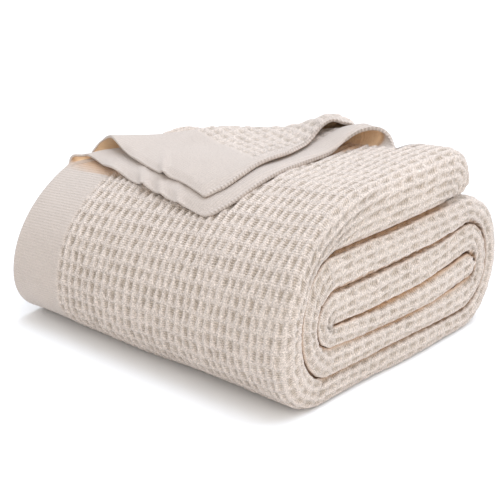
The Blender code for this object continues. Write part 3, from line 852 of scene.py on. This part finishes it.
def flap_sheet(which):
    """Middle points of a flap, its ways to the band, the selvage and its free edge, and marks.

    Each row starts at a place on the fold, goes back and up round a half circle and on along its
    heading, coming down as it goes. Laid flat, the same row gives the distances to the flap's
    banded edge and to its selvage. The marks are the angle round the loop, and how far a place
    is hidden under the other flap.
    """
    depth, rests = {"lower": (HALF_PLY, 0), "upper": (HALF_PLY + PLY_PITCH, 1)}[which]
    fold_x, fold_y, heading, reach, radius = flap_rows(which, FLAP_ROWS)[..., None]
    heading = np.radians(heading)
    round_loop = pi * radius
    length = round_loop + reach
    loop_part = np.minimum(round_loop, length * LOOP_STEPS / (LOOP_STEPS + LAY_STEPS))
    edge_steps = 1.0 - np.linspace(1.0, 0.0, LAY_STEPS + 1) ** LAY_CROWDING
    past = np.concatenate([
        np.full((FLAP_ROWS, 1), -FLAP_ROOT),
        loop_part * np.linspace(0.0, 1.0, LOOP_STEPS + 1)[:-1],
        loop_part + (length - loop_part) * edge_steps], axis=1)
    angle = np.clip(past / radius, 0.0, pi)
    beyond = np.clip(past - round_loop, 0.0, None)
    ahead = beyond - radius * np.sin(angle) - np.clip(past, None, 0.0)
    down = ramp(beyond, 0.0, SETTLE)
    loop_height = radius * (1.0 - np.cos(angle)) - depth * TOP_THICKNESS
    rest_height = (rests + 0.5) * FLAP_BODY + (rests + 1) * FLAP_LIFT
    height = loop_height + (rest_height - loop_height) * down
    x, y = fold_x + ahead * np.cos(heading), fold_y + ahead * np.sin(heading)
    edge_x = fold_x + reach * np.cos(heading)
    to_edge = length - past
    for place, rise, half_width in FLAP_ARCHES[which]:
        arch = np.exp(-((edge_x - place) / half_width) ** 2 - to_edge / ARCH_DEPTH)
        height = height + rise * arch * down * ramp(reach, *ARCH_REACH)
    height = height - EDGE_SAG * ramp(to_edge, *SAG_RUN) * down

    laid = past - round_loop
    from_band, from_selvage = edge_ways(which, fold_x + laid * np.cos(heading),
                                        fold_y + laid * np.sin(heading))
    # Painted shade mask: how far the lower flap lies under the upper one, darkening the slot.
    hidden = np.zeros_like(x)
    if which == "lower":
        hidden = covered("upper", x, y) * ramp(x, *SLOT_X)
    return on_top(x, y, height), from_band, from_selvage, to_edge, angle, hidden


def flap_mesh(which):
    """A flap as a closed sheet with weave on both faces and rounded free edges."""
    middle, u, v, to_edge, angle, hidden = flap_sheet(which)
    plain = FLAP_CORNER[which][3]
    height, waffled = waffle(np.maximum(u, 0.0), v + FLAP_SHIFT)
    waffled = waffled * ramp(v, plain, plain + FLAP_PLAIN_FADE) * ramp(to_edge, *FLAP_EDGE_PLAIN)
    relief = (height - PLAIN_LEVEL) * FLAP_RELIEF * waffled
    height = PLAIN_LEVEL + relief
    round_edge = np.sqrt(1.0 - (1.0 - np.clip(to_edge / HEM, 0.0, 1.0)) ** 2)
    selvage = ramp(to_edge, *SELVAGE_EDGE) * ramp(u, *SELVAGE_BAND)
    thick = (CLOTH + SELVAGE_THICK * selvage) * round_edge
    side = np.maximum(thick / 2, THINNEST) + settings().depth * relief * round_edge
    rows, columns = middle.shape[:2]
    from_end = np.minimum(np.arange(rows), np.arange(rows)[::-1])[:, None]
    side = np.maximum(side * ramp(from_end, 0, END_ROWS), THINNEST)
    normal = -grid_normals(middle)
    top = middle + normal * side[..., None]
    bottom = middle - normal * side[..., None]
    # Painted warm shade inside the loops, away from the free edge and faded at the lower flap's
    # ends.
    inside = ramp(angle, *LOOP_ANGLE) * ramp(to_edge, *LOOP_EDGE)
    if which == "lower":
        fold_x = flap_rows(which, rows)[0][:, None]
        inside = inside * ramp(fold_x, *LOOP_LEFT_X) * ramp(fold_x, *LOOP_RIGHT_X)
    # Painted shade: the slot under the upper flap, and the warm shade inside the loops.
    gap = np.stack([SLOT_SHADE * hidden * ramp(angle, 0.0, pi), LOOP_SHADE * inside])
    count = rows * columns
    front = grid_faces(rows, columns, flip=True)
    back = grid_faces(rows, columns, first=count)
    index = np.arange(count).reshape(rows, columns)
    rim = np.concatenate([index[0, :-1], index[:-1, -1], index[-1, :0:-1], index[:0:-1, 0]])
    ahead = np.roll(rim, -1)
    edge = np.stack([rim, ahead, ahead + count, rim + count], axis=-1)[:, ::-1]
    return cloth_mesh("flap_" + which, np.stack([top, bottom]), np.concatenate([front, back, edge]),
                      (height, gap, selvage, waffled), np.stack([u, u]), np.stack([v, v]))


# ---- material ----
def add_node(tree, kind, values=None, links=None):
    """Add a node with its properties, input values and links, and return its outputs."""
    node = tree.nodes.new("ShaderNode" + kind)
    for name, value in (values or {}).items():
        if isinstance(name, str) and hasattr(node, name):
            setattr(node, name, value)
        else:
            node.inputs[name].default_value = value
    for name, socket in (links or {}).items():
        tree.links.new(socket, node.inputs[name])
    return node.outputs


def new_material(name, **values):
    """A material by name with its shader's own values, where _ stands for a space."""
    material = bpy.data.materials.new(name)
    material.use_nodes = True
    shader = material.node_tree.nodes["Principled BSDF"]
    for socket, value in values.items():
        shader.inputs[socket.replace("_", " ")].default_value = value
    return material, material.node_tree, shader


def waffle_cotton():
    """Soft spun cotton yarn, woven in deep cells and left undyed.

    Matt, with a faint sheen of fine fibres. The cells are painted darker and warmer, as shade
    for the light that comes only off other yarn, and threads cross their floors like a ladder,
    drawn at 2.3 mm, coarser than the yarn, so that they show.
    """
    name = "spun cotton waffle weave"
    if name in bpy.data.materials:
        return bpy.data.materials[name]
    cloth = settings()
    material, tree, shader = new_material(name, Roughness=0.92, Specular_IOR_Level=0.15,
                                          Sheen_Weight=0.30, Sheen_Roughness=0.5)
    add = functools.partial(add_node, tree)
    math, spread, mix = "Math", "MapRange", "Mix"
    times, times_add = {"operation": "MULTIPLY"}, {"operation": "MULTIPLY_ADD"}
    colours = {"data_type": "RGBA"}

    marks = add("Attribute", {"attribute_name": "cloth"})
    relief, gap, selvage = add("SeparateColor", links={0: marks["Color"]})
    waffled = marks["Alpha"]
    uv = add("UVMap", {"uv_map": "cloth_metres"})[0]
    across, along, _ = add("SeparateXYZ", links={0: uv})
    spot = add("TexCoord")["Object"]

    # Fibre ends about 1 mm apart, yarn in clumps a little wider, and blotches of 20 mm.
    fuzz, yarn, blotch = (
        add("TexNoise", {"Scale": scale, "Detail": detail, "Roughness": 0.65},
            {"Vector": spot})["Fac"]
        for scale, detail in ((900.0, 3.0), (760.0, 2.0), (45.0, 3.0)))
    phases = (add(math, times | {1: 2 * pi / pitch}, {0: way})[0] for way, pitch in (
        (along, LADDER_PITCH), (along, BAND_RIB_PITCH), (across, SELVAGE_RIB_PITCH)))
    ladder, ribs, crimps = (add(math, {"operation": "SINE"}, {0: phase})[0] for phase in phases)
    # How strong each is: its source, that source's range, and the range that it is taken to.
    depth, in_cells, on_band, mottle, on_waffle, patches, gap_shade_share, inside = (
        add(spread, {"interpolation_type": kind, 1: low, 2: high, 3: to_low, 4: to_high},
            {0: source})[0]
        for source, low, high, to_low, to_high, kind in (
            (relief, 0.05, 0.80, 0.0, 1.0, "SMOOTHSTEP"),
            (relief, 0.75, 0.25, 0.30, 1.0, "LINEAR"),
            (waffled, 0.0, 1.0, 0.30, 0.0, "LINEAR"),
            (yarn, 0.30, 0.70, -0.36, 0.29, "LINEAR"),
            (waffled, 0.0, 1.0, 0.25, 1.0, "LINEAR"),
            (blotch, 0.0, 1.0, 0.95, 1.035, "LINEAR"),
            (gap, 0.0, 0.5, 0.0, 1.0, "LINEAR"),
            (gap, 0.5, 1.0, 0.0, 1.0, "LINEAR")))

    in_waffle = add(math, times, {0: ladder, 1: in_cells})[0]
    threads = add(math, times, {0: in_waffle, 1: waffled})[0]
    threads = add(math, times_add, {0: ribs, 1: on_band, 2: threads})[0]
    crimped = add(math, times, {0: crimps, 1: selvage})[0]
    threads = add(math, times_add | {1: 0.9}, {0: crimped, 2: threads})[0]
    rough = add(math, times_add | {1: 2.2}, {0: fuzz, 2: threads})[0]
    # Yarn tone: thread marks, yarn mottle and random blotches scale the colour.
    yarn_tone = add(math, times_add | {1: 0.12, 2: 1.0}, {0: threads})[0]
    yarned = add(math, times_add | {2: 1.0}, {0: mottle, 1: on_waffle})[0]
    for part in (yarned, patches):
        yarn_tone = add(math, times, {0: yarn_tone, 1: part})[0]

    # Painted shade in the cells: pit colour where the weave is low, ridge colour on top.
    colour = add(mix, colours | {6: linear(cloth.painted_pit_shade), 7: linear(cloth.ridge_colour)},
                 {0: depth})[2]
    colour = add(mix, colours | {6: linear(cloth.plain_colour)}, {0: waffled, 7: colour})[2]
    colour = add(mix, colours | {"blend_type": "MULTIPLY", 0: 1.0}, {6: colour, 7: yarn_tone})[2]
    # Painted shade: the gap colour where layers meet and under the flaps, the warm colour inside
    # the loops.
    for share, tint in ((gap_shade_share, cloth.painted_gap_shade), (inside, cloth.painted_loop_shade)):
        colour = add(mix, colours | {7: linear(tint)}, {0: share, 6: colour})[2]
    tree.links.new(colour, shader.inputs["Base Color"])
    bump = add("Bump", {"Strength": 0.8, "Distance": 0.0005}, {"Height": rough})
    tree.links.new(bump[0], shader.inputs["Normal"])
    return material


def floor_card():
    """Matt white card under the blanket."""
    return new_material("matt white card", Base_Color=(0.93, 0.93, 0.93, 1.0), Roughness=1.0,
                        Specular_IOR_Level=0.0)[0]


# ---- operators ----
class BLANKET_OT_skin(bpy.types.Operator):
    """Build the outer ply with its round folds and weave"""

    bl_idname = "blanket.skin"
    bl_label = "Outer Ply"

    def execute(self, context):
        build_skin()
        return {"FINISHED"}


class BLANKET_OT_plies(bpy.types.Operator):
    """Build the plies that show beside the plain bands"""

    bl_idname = "blanket.plies"
    bl_label = "Inner Plies"

    def execute(self, context):
        build_plies()
        build_uncovered()
        return {"FINISHED"}


class BLANKET_OT_flaps(bpy.types.Operator):
    """Build the two turned-back plies"""

    bl_idname = "blanket.flaps"
    bl_label = "Flaps"

    def execute(self, context):
        for which in FLAP_TABLE:
            add_piece(flap_mesh(which), 2)
        return {"FINISHED"}


# ---- stage ----
CAMERA_AZIMUTH, CAMERA_ELEVATION = 39.4, 23.3  # degrees
CAMERA_DISTANCE = 1.6163
CAMERA_TARGET = (0.0, 0.0, 0.0914)
CAMERA_LENS, SENSOR = 129.6, 36.0  # mm
IMAGE = 500.0
TARGET_PIXEL = (254.3, 224.2)  # where the target shows in the photograph
FLOOR_SIZE, FLOOR_Z = 14.0, -0.0003
LIGHTS = {  # place, size, power in watts, colour
    "key": ((0.3, 0.6, 2.5), 2.6, 58.0, (0.89, 1.0, 1.17)),
    "fill": ((2.5, -1.0, 1.3), 2.2, 21.0, (1.0, 0.97, 0.92)),
}
SKY = 0.95


def add_camera():
    """The photograph's view: a long lens, from the front right and a little above."""
    azimuth, elevation = radians(CAMERA_AZIMUTH), radians(CAMERA_ELEVATION)
    way = Vector((sin(azimuth) * cos(elevation), -cos(azimuth) * cos(elevation), sin(elevation)))
    camera = bpy.data.cameras.new("camera")
    camera.lens, camera.sensor_width = CAMERA_LENS, SENSOR
    camera.shift_x = (IMAGE / 2 - TARGET_PIXEL[0]) / IMAGE
    camera.shift_y = (TARGET_PIXEL[1] - IMAGE / 2) / IMAGE
    view = bpy.data.objects.new("camera", camera)
    view.location = Vector(CAMERA_TARGET) + way * CAMERA_DISTANCE
    view.rotation_euler = way.to_track_quat("Z", "Y").to_euler()
    bpy.context.scene.collection.objects.link(view)
    bpy.context.scene.camera = view


class BLANKET_OT_stage(bpy.types.Operator):
    """Build the camera, the pale floor and the soft light"""

    bl_idname = "blanket.stage"
    bl_label = "Stage"

    def execute(self, context):
        scene = context.scene
        add_camera()
        half = FLOOR_SIZE / 2
        corners = [(x * half, y * half, FLOOR_Z) for x, y in ((-1, -1), (1, -1), (1, 1), (-1, 1))]
        mesh = bpy.data.meshes.new("floor")
        mesh.from_pydata(corners, [], [(0, 1, 2, 3)])
        mesh.materials.append(floor_card())
        floor = bpy.data.objects.new("floor", mesh)
        scene.collection.objects.link(floor)
        for name, (place, size, power, colour) in LIGHTS.items():
            light = bpy.data.lights.new(name, "AREA")
            light.size, light.energy, light.color = size, power, colour
            lamp = bpy.data.objects.new(name, light)
            lamp.location = place
            lamp.rotation_euler = Vector(place).to_track_quat("Z", "Y").to_euler()
            scene.collection.objects.link(lamp)
        world = bpy.data.worlds.new("soft white room")
        world.use_nodes = True
        sky = world.node_tree.nodes["Background"].inputs
        sky["Color"].default_value = (1.0, 1.0, 1.0, 1.0)
        sky["Strength"].default_value = SKY
        scene.world = world
        scene.view_settings.view_transform = "Standard"
        return {"FINISHED"}


class BLANKET_PT_panel(bpy.types.Panel):
    """Lists the blanket's pieces and sizes"""

    bl_label = "Waffle Weave Blanket"
    bl_space_type = "VIEW_3D"
    bl_region_type = "UI"
    bl_category = "Blanket"

    def draw(self, context):
        layout = self.layout
        for name in BlanketSettings.__annotations__:
            layout.prop(context.scene.blanket, name)
        for operator in OPERATORS:
            layout.operator(operator.bl_idname)


OPERATORS = (BLANKET_OT_skin, BLANKET_OT_plies, BLANKET_OT_flaps, BLANKET_OT_stage)
CLASSES = (BlanketSettings, *OPERATORS, BLANKET_PT_panel)


def register():
    """Register the classes and the settings."""
    for cls in CLASSES:
        bpy.utils.register_class(cls)
    bpy.types.Scene.blanket = bpy.props.PointerProperty(type=BlanketSettings)


def unregister():
    """Take the settings and the classes away again."""
    del bpy.types.Scene.blanket
    for cls in reversed(CLASSES):
        bpy.utils.unregister_class(cls)


def plain(bounds):
    """Bounds as plain lists of numbers."""
    return [[float(value) for value in corner] for corner in bounds]


def main():
    """Register, and build every piece and the stage."""
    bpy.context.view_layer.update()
    register()
    bpy.ops.blanket.skin()
    bpy.ops.blanket.plies()
    bpy.ops.blanket.flaps()
    bpy.ops.blanket.stage()


if __name__ == "__main__":
    main()
